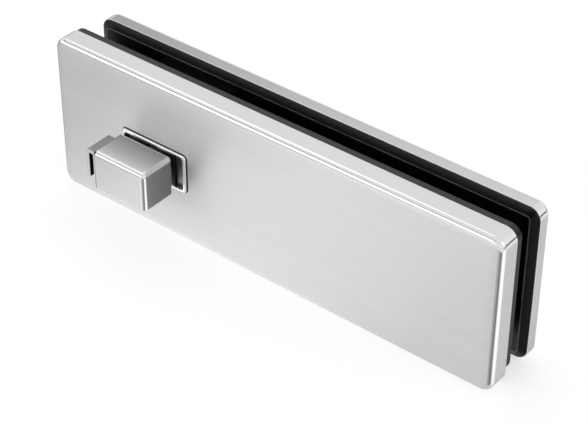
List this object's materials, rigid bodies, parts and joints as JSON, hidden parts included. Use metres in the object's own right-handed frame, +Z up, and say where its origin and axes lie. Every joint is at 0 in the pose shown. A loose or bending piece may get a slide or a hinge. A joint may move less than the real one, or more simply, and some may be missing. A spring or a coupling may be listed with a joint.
{
  "type": "glass door floor lock",
  "caption": "Floor lock for a frameless glass door: two brushed covers clamp the glass, and a thumb turn drops a bolt into the floor.",
  "frame": {"origin": "on the floor bolt's axis, midway between the two pads, level with the covers' lower edge", "axes": "+X along the door from the end nearest the turn, +Y from the front (the thumb turn) to the rear, +Z up"},
  "size_m": [0.22, 0.0534, 0.072],
  "materials": {
    "brushed_cover": "satin stainless steel, brushed along its length",
    "brushed_turn": "satin stainless steel with bright edges",
    "polished_frame": "polished stainless steel",
    "black_body": "black anodised",
    "pad_rubber": "matt black",
    "ring_rubber": "matt black",
    "plain_steel": "plain steel",
    "bolt_steel": "ground steel",
    "fastener_steel": "zinc plated",
    "bush_brass": "turned",
    "black_plastic": "matt black"
  },
  "bodies": {
    "lock_frame": {"front_cover": "brushed_cover", "rear_cover": "brushed_cover", "front_body": "black_body", "rear_body": "black_body", "front_gasket": "pad_rubber", "rear_gasket": "pad_rubber", "lock_case": "plain_steel", "case_lid": "plain_steel", "case_lid_screws": "fastener_steel", "case_screws": "fastener_steel", "bolt_bush": "bush_brass", "pinion_bushes": "bush_brass", "escutcheon": "polished_frame", "turn_liner": "black_plastic", "liner_screws": "fastener_steel", "clamp_screws": "fastener_steel", "clamp_sleeves": "black_plastic", "cover_screws": "fastener_steel"},
    "turn": {"thumb_turn": "brushed_turn", "finger_tab": "brushed_turn", "tab_rivets": "fastener_steel", "turn_set_screw": "fastener_steel", "neck_circlip": "fastener_steel", "neck_o_ring": "ring_rubber", "spindle": "plain_steel", "pinion": "plain_steel"},
    "floor_bolt": {"bolt": "bolt_steel"}
  },
  "joints": [
    {"name": "turn_hinge", "type": "hinge", "parent": "lock_frame", "child": "turn", "pos_m": [0.0135, 0, 0.0345], "axis": [0, -1, 0], "range_deg": [0, 90]},
    {"name": "bolt_drop", "type": "slide", "parent": "lock_frame", "child": "floor_bolt", "axis": [0, 0, -1], "range_m": [0, 0.01571]}
  ],
  "couplings": [
    {"joint": "turn_hinge", "follows": "bolt_drop", "rad_per_m": 100}
  ]
}
